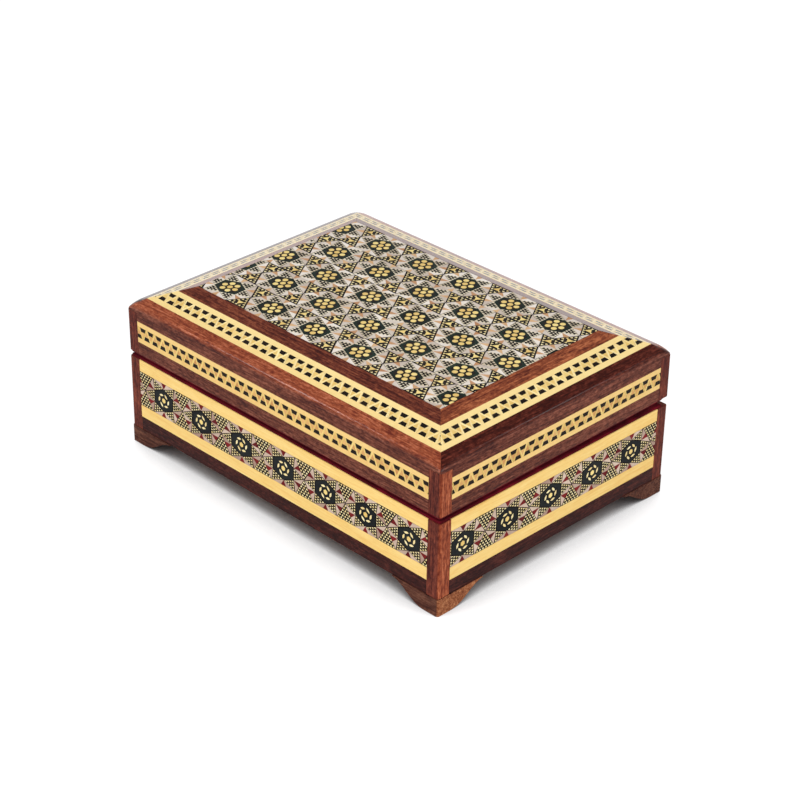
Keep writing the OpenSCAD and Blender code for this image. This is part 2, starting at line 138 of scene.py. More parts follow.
class Shader:
    """A small wrapper that adds and links nodes in a new material."""

    def __init__(self, name):
        self.material = bpy.data.materials.new(name)
        self.material.use_nodes = True
        self.tree = self.material.node_tree
        self.surface = self.tree.nodes["Principled BSDF"]

    def add(self, kind, inputs=(), **settings):
        node = self.tree.nodes.new(kind)
        for key, value in settings.items():
            setattr(node, key, value)
        for key, value in dict(inputs).items():
            self.put(node, key, value)
        return node

    def put(self, node, key, value):
        if isinstance(value, bpy.types.NodeSocket):
            self.tree.links.new(value, node.inputs[key])
        else:
            node.inputs[key].default_value = value

    def set(self, **values):
        for key, value in values.items():
            self.put(self.surface, key.replace("_", " "), value)

    def position(self, scale):
        """Object position in mm, scaled along each axis."""
        coord = self.add("ShaderNodeTexCoord").outputs["Object"]
        return self.add("ShaderNodeVectorMath", {0: coord, 1: [s / MM for s in scale]},
                        operation="MULTIPLY").outputs[0]

    def facing(self, axis, low, high):
        """0 to 1 as the surface turns towards an axis of the object."""
        normal = self.add("ShaderNodeTexCoord").outputs["Normal"]
        parts = self.add("ShaderNodeSeparateXYZ", {0: normal})
        clamped = self.add("ShaderNodeMapRange", {
            "Value": parts.outputs["XYZ".index(axis)], "From Min": low, "From Max": high})
        return clamped.outputs[0]

    def polish(self, top, rough=0.13):
        """A clear coat on faces that look up, and none on upright ones."""
        weight = self.spread(self.facing("Z", 0.1, 0.6), 0, 1, 0.0, top)
        self.set(Coat_Weight=weight, Coat_Roughness=rough)

    def noise(self, vector, scale, detail, rough=0.5, distortion=0.0):
        return self.add("ShaderNodeTexNoise", {
            "Vector": vector, "Scale": scale, "Detail": detail, "Roughness": rough,
            "Distortion": distortion}).outputs["Fac"]

    def math(self, operation, a, b=0.0, c=0.0):
        return self.add("ShaderNodeMath", {0: a, 1: b, 2: c}, operation=operation).outputs[0]

    def spread(self, value, low, high, to_low=0.0, to_high=1.0):
        return self.add("ShaderNodeMapRange", {
            "Value": value, "From Min": low, "From Max": high,
            "To Min": to_low, "To Max": to_high}).outputs[0]

    def ramp(self, value, stops):
        node = self.add("ShaderNodeValToRGB", {"Fac": value})
        points = node.color_ramp.elements
        while len(points) < len(stops):
            points.new(0.5)
        for point, (place, tint) in zip(points, stops):
            point.position, point.color = place, tint
        return node.outputs["Color"]

    def mix(self, factor, a, b):
        """A mix of two colours, by the numbers of the node's colour sockets."""
        node = self.add("ShaderNodeMix", data_type="RGBA")
        for socket, value in ((0, factor), (6, a), (7, b)):
            self.put(node, socket, value)
        return node.outputs[2]

    def bump(self, height, depth, strength):
        return self.add("ShaderNodeBump", {
            "Height": height, "Distance": depth * MM, "Strength": strength}).outputs["Normal"]


TONE_PLACES = (0.3, 0.5, 0.72)  # of the dark, middle and light tone of a wood on its ramp
MATT = 0.06  # the specular level of all woods


def along(axis, length, width):
    """Scales for a pattern with the given length along the grain and width across it."""
    return [1 / (length if i == "XYZ".index(axis) else width) for i in range(3)]


def wood(name, axis, tones, turned=None, towards="Z", streak=1.0, mottle=1.0, pores=0.5,
         rough=0.42, polish=0.0, shift=0.0):
    """Wood with slow bands, streaks and open pores drawn out along the grain axis.

    Faces that look towards an axis take the turned tones: light and shade painted into the colour
    by which way a face looks.
    """
    s = Shader(name)
    bend = s.noise(s.position((0.03, 0.03, 0.03)), 1.0, 2.0)
    bend = s.math("MULTIPLY_ADD", bend, 1.6, shift)

    def grain(length, width, detail, roughness=0.55):
        scaled = s.position(along(axis, length, width))
        moved = s.add("ShaderNodeVectorMath", {0: scaled, 1: bend}, operation="ADD")
        return s.noise(moved.outputs[0], 1.0, detail, roughness)

    value = 0.5
    for part, weight in ((grain(60, 4.2, 2.0), 0.3), (grain(11, 0.6, 3.0, 0.6), 0.9 * streak),
                         (grain(2.4, 1.2, 3.0, 0.65), 0.55 * mottle),
                         (grain(1.4, 0.42, 2.0), 0.5 * mottle)):
        value = s.math("MULTIPLY_ADD", s.math("SUBTRACT", part, 0.5), weight, value)
    streaks = grain(9, 0.5, 3.0, 0.6)
    holes = s.spread(grain(1.7, 0.24, 2.0), 0.60, 0.70)
    tint = s.ramp(value, list(zip(TONE_PLACES, tones)))
    # painted light and shade: faces towards the axis take the other tones
    if turned:
        other = s.ramp(value, list(zip(TONE_PLACES, turned)))
        tint = s.mix(s.facing(towards, 0.3, 0.75), tint, other)
    tint = s.mix(s.math("MULTIPLY", holes, pores), tint, [c * 0.4 for c in tones[0][:3]] + [1])
    height = s.math("MULTIPLY_ADD", holes, -0.7, streaks)
    s.set(Base_Color=tint, Normal=s.bump(height, 0.05, 0.5),
          Roughness=s.spread(streaks, 0.3, 0.7, rough + 0.08, rough - 0.06),
          Specular_IOR_Level=MATT)
    s.polish(polish)
    return s.material


def rod_stuff(name, low, high, rough=0.4, speckle=0.5):
    """Lacquered rods of one species: each rod has its own tone, with fine end-grain specks."""
    s = Shader(name)
    tone = s.add("ShaderNodeAttribute", attribute_name="tone").outputs["Fac"]
    specks = s.noise(s.position((1, 1, 1)), 4.5, 3.0, 0.6)
    cloud = s.noise(s.position((1, 1, 1)), 0.5, 2.0)
    value = s.math("MULTIPLY_ADD", s.math("SUBTRACT", specks, 0.5), speckle, tone)
    value = s.math("MULTIPLY_ADD", s.math("SUBTRACT", cloud, 0.5), 0.5, value)
    tint = s.ramp(value, [(0.0, low), (1.0, high)])
    lacquer = s.noise(s.position((1, 1, 1)), 0.35, 2.0)
    s.set(Base_Color=tint, Roughness=s.spread(specks, 0.3, 0.7, rough - 0.05, rough + 0.08),
          Normal=s.bump(lacquer, 0.05, 0.3), Specular_IOR_Level=MATT)
    s.polish(0.8, 0.1)
    return s.material


def tones(*screen):
    return [colour(*rgb) for rgb in screen]


# FRAME_SIDE and FRAME_TOP are shaded and lit tones of one wood: the front and back rails' tops are
# painted lighter than their sides
FRAME_SIDE = tones((58, 24, 22), (97, 50, 38), (142, 84, 66))
FRAME_TOP = tones((100, 38, 28), (148, 74, 47), (194, 114, 82))
FRAME_TOP_DARK = tones((40, 9, 8), (69, 24, 16), (110, 50, 38))
BORDER = tones((64, 24, 20), (104, 48, 34), (148, 82, 56))
BORDER_WARM = tones((86, 34, 24), (134, 67, 41), (182, 106, 68))
PLINTH = tones((32, 9, 9), (55, 21, 18), (88, 42, 35))
POST = tones((60, 20, 18), (97, 42, 32), (136, 68, 50))
POST_LIT = tones((94, 34, 23), (144, 69, 43), (190, 108, 72))
FOOT = tones((56, 28, 22), (84, 48, 37), (122, 80, 62))
FOOT_LIT = tones((104, 52, 32), (148, 88, 56), (188, 128, 88))
PALE = tones((236, 186, 102), (246, 208, 127), (252, 222, 150))
CARCASS = tones((120, 84, 52), (158, 116, 74), (188, 148, 102))

woods = {}
for axis in "XY":
    tag = axis.lower()
    slope, border = (FRAME_TOP_DARK, BORDER_WARM) if axis == "Y" else (FRAME_TOP, BORDER)
    woods["border", axis] = wood(f"rosewood_border_{tag}", axis, border, polish=0.7)
    # the rails' tops take other tones than their sides: painted light and shade
    woods["frame", axis] = wood(f"rosewood_frame_{tag}", axis, FRAME_SIDE, slope, streak=0.8,
                                polish=0.4, shift=31)
    woods["far_frame", axis] = wood(f"rosewood_far_frame_{tag}", axis, FRAME_SIDE, slope,
                                    polish=0.85)
    woods["plinth", axis] = wood(f"plinth_wood_{tag}", axis, PLINTH, streak=0.8, shift=7)
    woods["pale", axis] = wood(f"light_wood_{tag}", axis, PALE, streak=0.6, mottle=0.25,
                               pores=0.0, shift=11)
    woods["carcass", axis] = wood(f"carcass_wood_{tag}", axis, CARCASS, streak=0.6, rough=0.6,
                                  shift=13)
woods["post"] = wood("post_wood", "Z", POST, shift=3)
# the near corner's post and foot: their faces along X are painted lighter with the _LIT tones,
# painted light
woods["near_post"] = wood("near_post_wood", "Z", POST, POST_LIT, "X", shift=3)
woods["foot"] = wood("foot_wood", "X", FOOT, streak=0.8, rough=0.55, shift=5)
woods["near_foot"] = wood("near_foot_wood", "X", FOOT, FOOT_LIT, "X", streak=0.8, rough=0.55,
                          shift=5)

SPECIES = {}
for kind, darkest, lightest, *finish in (
        ("glue", (20, 14, 12), (44, 30, 22), 0.5),
        ("green", (10, 24, 20), (30, 50, 40)),
        ("night", (12, 15, 18), (30, 34, 34)),
        ("black", (16, 11, 10), (38, 28, 22)),
        ("bone", (195, 178, 164), (248, 240, 230), 0.3),
        ("ivory", (214, 198, 168), (240, 230, 204), 0.3),
        ("shell", (160, 128, 112), (222, 200, 180), 0.3),
        ("seed", (226, 188, 108), (252, 230, 152), 0.35),
        ("dot", (236, 208, 140), (255, 242, 190), 0.35),
        ("tan", (184, 130, 90), (226, 186, 140)),
        ("red", (84, 14, 20), (132, 34, 34)),
        ("line", (226, 184, 110), (252, 218, 146)),
        ("light_line", (236, 203, 130), (252, 229, 164)),
        ("cream", (231, 199, 129), (253, 233, 172), 0.4, 0.4),
        ("gold", (220, 180, 100), (244, 216, 138), 0.4, 0.4),
        ("straw", (196, 140, 82), (232, 186, 118), 0.4, 0.4),
):
    SPECIES[kind] = rod_stuff(f"inlay_{kind}", colour(*darkest), colour(*lightest), *finish)


def velvet():
    s = Shader("velvet")
    pile = s.noise(s.position((1, 1, 1)), 9.0, 2.0)
    brushed = s.noise(s.position((0.10, 0.16, 0.10)), 1.0, 2.0, 0.5, 0.6)
    value = s.math("MULTIPLY_ADD", s.math("SUBTRACT", pile, 0.5), 0.7, brushed)
    tint = s.ramp(value, [(0.25, colour(60, 4, 14)), (0.55, colour(88, 8, 22)),
                          (0.8, colour(120, 18, 34))])
    s.set(Base_Color=tint, Roughness=0.95, Specular_IOR_Level=0.1,
          Sheen_Weight=0.25, Sheen_Roughness=0.35, Sheen_Tint=colour(200, 80, 96),
          Normal=s.bump(pile, 0.12, 0.7))
    return s.material


def brass():
    s = Shader("brass")
    worn = s.noise(s.position((0.5, 0.5, 0.5)), 1.0, 4.0, 0.6)
    lines = s.noise(s.position(along("X", 3.0, 0.06)), 1.0, 2.0)
    tint = s.ramp(worn, [(0.3, colour(146, 104, 48)), (0.6, colour(214, 172, 92))])
    s.set(Base_Color=tint, Metallic=1.0, Roughness=s.spread(worn, 0.3, 0.7, 0.48, 0.24),
          Normal=s.bump(lines, 0.01, 0.4))
    return s.material


VELVET, BRASS = velvet(), brass()


# ---- pieces ----
SMOOTH_ANGLE = math.radians(38)  # faces that meet flatter than this are shaded as one
SHARP_ANGLE = math.radians(30)  # edges sharper than this are eased
FLAT_ANGLE = math.radians(1)  # faces that meet flatter than this become one
MERGE, TOUCH = 1e-6, 1e-7  # distances in metres under which points are one, or on a cut
EASED, EASED_STRIP, EASED_BORDER, EASED_POST, EASED_FOOT = 0.12, 0.08, 0.06, 0.2, 0.25
CORNER_CUTS = (0.4, 0.8, 1.2, 1.7, 2.2, 2.8, 3.5, 4.3, 5.2, 6.2)  # from the end of a lid rail
LEAST_CORNER = 0.02


def new_piece(name, mesh, body, replaced):
    piece = bpy.data.objects.new(name, mesh)
    bpy.context.scene.collection.objects.link(piece)
    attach(piece, body)
    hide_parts(*replaced)
    return piece


def even_normals(mesh):
    """Smooth shading in which wide faces keep their own direction beside eased edges."""
    near = [[] for _ in mesh.vertices]
    for face in mesh.polygons:
        for v in face.vertices:
            near[v].append(face)
    normals = []
    limit = math.cos(SMOOTH_ANGLE)
    for face in mesh.polygons:
        for v in face.vertices:
            total = Vector((0, 0, 0))
            for other in near[v]:
                if other.normal.dot(face.normal) > limit:
                    total += other.normal * other.area
            normals.append(total.normalized())
    mesh.shade_smooth()
    mesh.normals_split_custom_set(normals)


def in_order(bm):
    """Sorts points, edges and faces by place, as cuts leave them in another order each run."""
    def corners(item):
        return sorted(v.index for v in item.verts)

    for items, place in ((bm.verts, lambda v: v.co[:]), (bm.edges, corners), (bm.faces, corners)):
        for i, item in enumerate(sorted(items, key=place)):
            item.index = i
        items.sort()


def round_corners(bm, side):
    """Sands the crest of a lid rail round at both ends, between the post and the banding."""
    local = ON_LID @ at_side(side)
    back = local.inverted()
    half = run_l(side) / 2
    for end in (-1, 1):
        for gap in CORNER_CUTS:
            everything = bm.verts[:] + bm.edges[:] + bm.faces[:]
            bmesh.ops.bisect_plane(bm, geom=everything, dist=TOUCH,
                                   plane_co=local @ Vector((end * (half - gap), 0, 0)) * MM,
                                   plane_no=local.to_3x3() @ Vector((1, 0, 0)))
    arc_end = SHOULDER_R * (1 - math.sin(SLOPE))
    arc_z = BAND_EDGE_Z - (SHOULDER_W - arc_end) * math.tan(SLOPE) - SHOULDER_R * math.cos(SLOPE)
    moved = set()
    for v in bm.verts:
        p = back @ (v.co / MM)
        a, b = p.y, half - abs(p.x)
        if p.z < arc_z or a > SHOULDER_W:
            continue
        if a < arc_end:
            turn = math.atan2(p.z - arc_z, SHOULDER_R - a)
            radius = CORNER_R * math.sin(min(1.0, turn / (math.pi / 2 - SLOPE)) * math.pi / 2)
        else:
            radius = CORNER_R * (SHOULDER_W - a) / (SHOULDER_W - arc_end)
        if radius < LEAST_CORNER or b - a > radius:
            continue
        turn = (1 - (b - a) / radius) * math.pi / 4
        p.y = a + radius * (1 - math.cos(turn))
        p.x = math.copysign(half - a - radius * (1 - math.sin(turn)), p.x)
        v.co = local @ p * MM
        moved.add(v)
    bmesh.ops.triangulate(bm, faces=[f for f in bm.faces if moved.intersection(f.verts)])
    bmesh.ops.dissolve_degenerate(bm, dist=TOUCH, edges=bm.edges)
    in_order(bm)


def softened(node, material, radius=EASED, rail=None):
    """A copy of a CAD piece with its edges eased, and its corners if it is a rail of the lid."""
    mesh = nodes[node].data.copy()
    mesh.name = node + "_wood"
    bm = bmesh.new()
    bm.from_mesh(mesh)
    bmesh.ops.remove_doubles(bm, verts=bm.verts, dist=MERGE)
    bmesh.ops.dissolve_limit(bm, angle_limit=FLAT_ANGLE, verts=bm.verts, edges=bm.edges)
    sharp = [e for e in bm.edges
             if len(e.link_faces) == 2 and e.calc_face_angle() > SHARP_ANGLE]
    bmesh.ops.bevel(bm, geom=sharp, offset=radius * MM, segments=2, profile=0.6,
                    affect="EDGES", clamp_overlap=True)
    if rail is not None:
        round_corners(bm, rail)
    bm.to_mesh(mesh)
    bm.free()
    mesh.materials.clear()
    mesh.materials.append(material)
    even_normals(mesh)
    body = "lid" if nodes[node]["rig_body"] == "lid" else "base"
    new_piece(node + "_wood", mesh, body, [node])


for i, side in enumerate(SIDES):
    axis = "X" if i % 2 == 0 else "Y"
    softened(f"plinth_{side}", woods["plinth", axis])
    softened(f"light_strips_{side}", woods["pale", axis], EASED_STRIP)
    frame_kind = "frame" if i < 2 else "far_frame"
    softened(f"lid_frame_{side}", woods[frame_kind, axis], rail=i)
    softened(f"top_border_{side}", woods["border", axis], EASED_BORDER)
for corner in CORNERS:
    # the near corner takes the woods with painted light on its faces along X
    near = "near_" if corner == "front_right" else ""
    softened(f"base_post_{corner}", woods[near + "post"], EASED_POST)
    softened(f"lid_post_{corner}", woods[near + "post"], EASED_POST)
    softened(f"foot_{corner}", woods[near + "foot"], EASED_FOOT)


def finish_node(node, material):
    nodes[node].data.materials.clear()
    nodes[node].data.materials.append(material)


for i, side in enumerate(SIDES):
    finish_node(f"base_wall_{side}", woods["carcass", "XY"[i % 2]])
finish_node("base_floor", woods["carcass", "X"])
finish_node("lid_board", woods["carcass", "X"])
for node in ("hinge_leaves_lower", "hinge_leaves_upper", "hinge_pins", "base_nails", "lid_nails"):
    finish_node(node, BRASS)


# ---- inlay ----
GLUE = 0.03  # half of the glue line round a rod
PALE_GLUE = 0.012  # the same between pale rods
PALE_RODS = ("line", "light_line", "cream", "gold", "straw", "bone", "ivory", "shell", "tan")
BED_DROP = 0.16  # the dark bed lies this far under the surface
BED_TONE = 0.4
ROD_DEPTH = 0.1
LAYER = 0.012  # a rod laid on another stands this much higher
LEAST_ROD = 0.015  # smaller rods are left out, in square mm
LEAST_EDGE = 0.01
BED_ROW, ROD_ROWS = 0.05, 0.94  # shares of the bake map's height
MAP_GAP = 0.02


def clipped(shape, outline):
    """The part of a convex shape inside a convex outline that runs anticlockwise."""
    for a, b in zip(outline, outline[1:] + outline[:1]):
        def side_of(p):
            return (b[0] - a[0]) * (p[1] - a[1]) - (b[1] - a[1]) * (p[0] - a[0])
        kept = []
        for p, q in zip(shape, shape[1:] + shape[:1]):
            sp, sq = side_of(p), side_of(q)
            if sp >= 0:
                kept.append(p)
            if sp * sq < 0:
                t = sp / (sp - sq)
                kept.append((p[0] + (q[0] - p[0]) * t, p[1] + (q[1] - p[1]) * t))
        shape = kept
        if len(shape) < 3:
            return []
    return shape


def area(shape):
    return sum(p[0] * q[1] - q[0] * p[1] for p, q in zip(shape, shape[1:] + shape[:1])) / 2


def drawn_in(shape, gap):
    """A convex anticlockwise shape with each edge moved inwards by the gap."""
    shape = [p for p, q in zip(shape, shape[-1:] + shape[:-1]) if math.dist(p, q) > LEAST_EDGE]
    if len(shape) < 3:
        return []
    lines = []
    for p, q in zip(shape, shape[1:] + shape[:1]):
        length = math.dist(p, q)
        nx, ny = -(q[1] - p[1]) / length, (q[0] - p[0]) / length
        lines.append((nx, ny, nx * p[0] + ny * p[1] + gap))
    inner = []
    for (a, b, c), (d, e, f) in zip(lines[-1:] + lines[:-1], lines):
        cross = a * e - b * d
        if abs(cross) < 1e-6:
            return []
        inner.append(((c * e - b * f) / cross, (a * f - c * d) / cross))
    for (p, q), (r, s) in zip(zip(shape, shape[1:] + shape[:1]), zip(inner, inner[1:] + inner[:1])):
        if (q[0] - p[0]) * (s[0] - r[0]) + (q[1] - p[1]) * (s[1] - r[1]) <= 0:
            return []
    return inner


class Inlay:
    """A veneer of glued rods: a dark bed and separate rods whose tops make the surface."""

    def __init__(self, matrix, outline, thickness, seed, lift=(0, 0, 1), axes=None, folds=1):
        self.matrix, self.outline = matrix, outline
        self.u_axis, self.v_axis = axes or (Vector((1, 0, 0)), Vector((0, 1, 0)))
        self.lift = Vector(lift)
        self.random = random.Random(seed)
        self.verts, self.faces, self.kinds, self.tones, self.uvs = [], [], [], [], []
        us, vs = [p[0] for p in outline], [p[1] for p in outline]
        self.low, self.span = (min(us), min(vs)), (max(us) - min(us), max(vs) - min(vs))
        self.folds = folds
        self.rod(outline, "glue", -BED_DROP, thickness - BED_DROP, bed=True)

    def place(self, u, v, w):
        return self.matrix @ (self.u_axis * u + self.v_axis * v + self.lift * w) * MM

    def on_map(self, p, fold):
        """Where a point lies on the bake map: the strip is folded into rows, the bed lies below."""
        s, t = (p[0] - self.low[0]) / self.span[0], (p[1] - self.low[1]) / self.span[1]
        if fold < 0:
            return s, BED_ROW * t
        along_row = MAP_GAP / 2 + (1 - MAP_GAP) * (s * self.folds - fold)
        up_rows = fold + MAP_GAP + (1 - 2 * MAP_GAP) * t
        return along_row, 1 - ROD_ROWS + ROD_ROWS * up_rows / self.folds

    def rod(self, shape, kind, top=0.0, depth=ROD_DEPTH, bed=False):
        if not bed:
            shape = clipped(shape if area(shape) > 0 else shape[::-1], self.outline)
            shape = drawn_in(shape, PALE_GLUE if kind in PALE_RODS else GLUE) if shape else []
            if not shape or area(shape) < LEAST_ROD:
                return
        tone = BED_TONE if bed else self.random.uniform(0.1, 0.9)
        n, base = len(shape), len(self.verts)
        middle = (sum(p[0] for p in shape) / n, sum(p[1] for p in shape) / n)
        share = (middle[0] - self.low[0]) / self.span[0]
        fold = -1 if bed else min(int(share * self.folds), self.folds - 1)
        near = [((p[0] + middle[0]) / 2, (p[1] + middle[1]) / 2) for p in shape]
        self.verts += [self.place(*p, top) for p in shape]
        self.verts += [self.place(*p, top - depth) for p in shape]
        flat = [self.on_map(p, fold) for p in shape]
        deep = [self.on_map(p, fold) for p in near]
        made = [([base + n + k for k in reversed(range(n))], flat[::-1])]
        for k in range(n):
            j = (k + 1) % n
            made.append(([base + j, base + k, base + n + k, base + n + j],
                         [flat[j], flat[k], deep[k], deep[j]]))
        made.append((list(range(base, base + n)), flat))
        for face, uv in made:
            self.faces.append(face)
            self.uvs += uv
            self.kinds.append(kind)
            self.tones.append(tone)

    def mesh(self, name):
        mesh = bpy.data.meshes.new(name)
        mesh.from_pydata(self.verts, [], self.faces)
        used = sorted(set(self.kinds))
        for kind in used:
            mesh.materials.append(SPECIES[kind])
        mesh.polygons.foreach_set("material_index", [used.index(k) for k in self.kinds])
        tone = mesh.attributes.new("tone", "FLOAT", "FACE")
        tone.data.foreach_set("value", self.tones)
        layer = mesh.uv_layers.new(name="OFBake")
        layer.data.foreach_set("uv", [c for uv in self.uvs for c in uv])
        mesh.update()
        return mesh


def lattice(a, b, c, n, hanging=False):
    """The upright or hanging small triangles of a triangle in n rows, with row and column."""
    def at(i, j):
        return (a[0] + (b[0] - a[0]) * i / n + (c[0] - a[0]) * j / n,
                a[1] + (b[1] - a[1]) * i / n + (c[1] - a[1]) * j / n)
    for j in range(n - hanging):
        for i in range(n - hanging - j):
            if hanging:
                yield i, j, [at(i + 1, j), at(i + 1, j + 1), at(i, j + 1)]
            else:
                yield i, j, [at(i, j), at(i + 1, j), at(i, j + 1)]


def scaled(shape, factor):
    cx, cy = (sum(p[k] for p in shape) / len(shape) for k in (0, 1))
    return [(cx + (p[0] - cx) * factor, cy + (p[1] - cy) * factor) for p in shape]


# Points of a block are shares of its half length and half height. The sizes of seeds are in mm.
TOP_STYLE = dict(
    edge=0.56, hexagon=(0.475, 0.325, 0.645), ring="green", ring_in=0.80, core="black",
    seeds="round", seed=(2.7, 1.04), ray="ivory", rows=4, dot="black", dot_size=1.4,
    kite="bone", wedge="tan", wedge_w=0.105, between_rows=5, between="eye",
    between_in=0.86, between_dot=0.74)
SIDE_STYLE = dict(
    edge=0.57, hexagon=(0.475, 0.335, 0.65), ring="night", ring_in=0.76, core="night",
    seeds="wheel", seed=(2.35, 0.78), ray="black", rows=4, dot="dot", dot_size=0.8,
    kite="shell", wedge="red", wedge_w=0.13, between_rows=6, between="full",
    between_in=0.93, between_dot=0.8)
EYE_IN, RAY_IN = 0.6, 0.93  # how far an eye and the dots of a ray are drawn in
TWELFTH = math.radians(30)
STRIP_MARGIN = 0.07


def star_block(inlay, centre, left, right, low, high, style):
    """One hexagonal block of a strip: ringed medallion, six dotted rays, kites and wedges."""
    rnd = inlay.random
    middle, half = (low + high) / 2, (high - low) / 2
    shear = rnd.uniform(-0.035, 0.035)
    rise = rnd.uniform(-0.012, 0.012)

    def at(x, y):
        v = middle + y * half
        return (centre + x * (right if x > 0 else left) + shear * (v - middle),
                v + rise * x * half)

    def both(points, sx, sy):
        return [at(sx * x, sy * y) for x, y in points]

    hx, hy, ht = style["hexagon"]
    edge = style["edge"]
    ring = [(0, -ht), (hx, -hy), (hx, hy), (0, ht), (-hx, hy), (-hx, -hy)]
    inlay.rod([at(*p) for p in ring], style["ring"])
    inner = [(x * style["ring_in"], y * style["ring_in"]) for x, y in ring]
    inlay.rod([at(*p) for p in inner], style["core"], LAYER)
    reach, size = style["seed"]
    cu, cv = at(0, 0)
    spin = rnd.uniform(-0.06, 0.06)
    for k in range(6):
        turn = math.radians(60 * k) + spin
        px, py = cu + reach * math.cos(turn), cv + reach * math.sin(turn) * 0.93
        if style["seeds"] == "round":
            shape = [(px + size * math.cos(TWELFTH * i),
                      py + size * math.sin(TWELFTH * i)) for i in range(12)]
            inlay.rod(shape, "seed", 2 * LAYER)
        else:
            tx, ty = -math.sin(turn), math.cos(turn)
            nx, ny = math.cos(turn), math.sin(turn)
            shape = []
            for a, b in ((-1, -1), (0.45, -1), (1, -0.2), (1, 1), (-0.45, 1), (-1, 0.2)):
                s, t = size * (a + 0.3 * b), 0.58 * size * b
                shape.append((px + tx * s + nx * t, py + ty * s + ny * t))
            inlay.rod(shape, "dot", 2 * LAYER)
    sides = 12 if style["seeds"] == "round" else 6
    size = size if style["seeds"] == "round" else 1.0
    shape = [(cu + size * math.cos(2 * math.pi * (i + 0.5) / sides),
              cv + size * math.sin(2 * math.pi * (i + 0.5) / sides)) for i in range(sides)]
    inlay.rod(shape, "seed", 2 * LAYER)

    rays = []
    for sx in (-1, 1):
        rays.append(both([(hx + 0.02, -hy), (hx + 0.02, hy), (0.955, 0)], sx, 1))
        for sy in (-1, 1):
            rays.append(both([(0.025, ht + 0.01), (hx + 0.02, hy + 0.02),
                              (edge - 0.035, 0.985)], sx, sy))
    hanging = style["dot"] == "black"
    for ray in rays:
        inlay.rod(ray, style["ray"])
        for _, _, dot in lattice(*scaled(ray, RAY_IN), style["rows"], hanging):
            inlay.rod(scaled(dot, style["dot_size"]), style["dot"], LAYER)

    w = style["wedge_w"]
    mx, my = (1 + edge) / 2, 0.5
    dx, dy = (1 - edge) * w * 1.1, w * 1.1
    for sy in (-1, 1):
        inlay.rod(both([(-w, 1), (w, 1), (0, ht + 0.03)], 1, sy), style["wedge"])
        for sx in (-1, 1):
            tip, corner = (0, ht + 0.015), (hx + 0.025, hy + 0.01)
            inlay.rod(both([(w, 1), (edge - 0.03, 1), tip], sx, sy), style["kite"])
            inlay.rod(both([(mx - dx, my + dy), (mx + dx, my - dy), corner], sx, sy),
                      style["wedge"])
            inlay.rod(both([(edge, 0.995), (mx - dx, my + dy), corner], sx, sy), style["kite"])
            inlay.rod(both([(mx + dx, my - dy), (0.985, 0.005), corner], sx, sy), style["kite"])


def between_blocks(inlay, a, b, tip, low, high, style):
    """The upright and the hanging triangle between two blocks, with base corners a and b."""
    middle = (low + high) / 2
    for level in (low, high):
        base, apex = [(a, level), (b, level)], (tip, middle)
        whole = [*base, apex]
        inlay.rod(whole, "black")
        n = style["between_rows"]
        full = style["between"] == "full"
        corners = scaled(whole, style["between_in"])
        for i, j, dot in lattice(*corners, n):
            if full or i == 0 or j == 0 or i + j == n - 1:
                inlay.rod(scaled(dot, style["between_dot"]), "dot", LAYER)
        if not full:
            inner = scaled(whole, EYE_IN)
            eye = [((p[0] + q[0]) / 2, (p[1] + q[1]) / 2)
                   for p, q in zip(inner, inner[1:] + inner[:1])]
            inlay.rod(eye, "seed", 2 * LAYER)


def khatam_strip(inlay, centres, low, high, style):
    """A strip of star blocks with their centres at the given places along it."""
    ends = [centres[0] * 2 - centres[1], *centres, centres[-1] * 2 - centres[-2]]
    joints = [(p + q) / 2 for p, q in zip(ends, ends[1:])]
    low, high = low + STRIP_MARGIN, high - STRIP_MARGIN
    for centre, a, b in zip(centres, joints, joints[1:]):
        star_block(inlay, centre, centre - a, b - centre, low, high, style)
    for k, joint in enumerate(joints):
        left = joint - (ends[k] if k else 2 * joint - centres[0])
        right = (ends[k + 1] if k + 1 < len(joints) else 2 * joint - centres[-1]) - joint
        edge = style["edge"]
        between_blocks(inlay, joint - left * (1 - edge), joint + right * (1 - edge),
                       joint + inlay.random.uniform(-0.15, 0.15), low, high, style)


def rows_of(start, pitch, end, wobble, rnd):
    places = []
    while start < end:
        places.append(start + rnd.uniform(-wobble, wobble))
        start += pitch
    return places


def side_panel(side, centres):
    half = run_l(side) / 2 - POST_W
    outline = [(-half, 0), (half, 0), (half, PANEL_H), (-half, PANEL_H)]
    matrix = at_side(side) @ Matrix.Translation((0, 0, PANEL_Z))
    inlay = Inlay(matrix, outline, SKIN_T, 40 + side, (0, -1, 0),
                  (Vector((1, 0, 0)), Vector((0, 0, 1))), 3)
    khatam_strip(inlay, centres, 0.0, PANEL_H, SIDE_STYLE)
    new_piece(f"mosaic_{SIDES[side]}_rods", inlay.mesh(f"mosaic_{SIDES[side]}"), "base",
              [f"mosaic_{SIDES[side]}", "panel_stars"])


# Centres of the blocks in the photo. The hidden sides repeat the visible ones, mirrored.
FRONT_CENTRES = [-77.3, -57.3, -37.5, -16.9, 3.8, 24.0, 42.5, 61.9, 81.5]
RIGHT_CENTRES = [-64.2, -44.0, -23.7, -3.3, 17.1, 36.6, 56.6]
side_panel(0, FRONT_CENTRES)
side_panel(1, RIGHT_CENTRES)
side_panel(2, [-c - 4.3 for c in reversed(FRONT_CENTRES)])
side_panel(3, [-c + 3.1 for c in reversed(RIGHT_CENTRES)])


# First centre and pitch of each row of blocks in the field, from the front
FIELD_ROWS = [(-70.7, 21.2), (-60.6, 21.2), (-76.4, 21.5), (-65.3, 21.2), (-57.6, 20.6)]


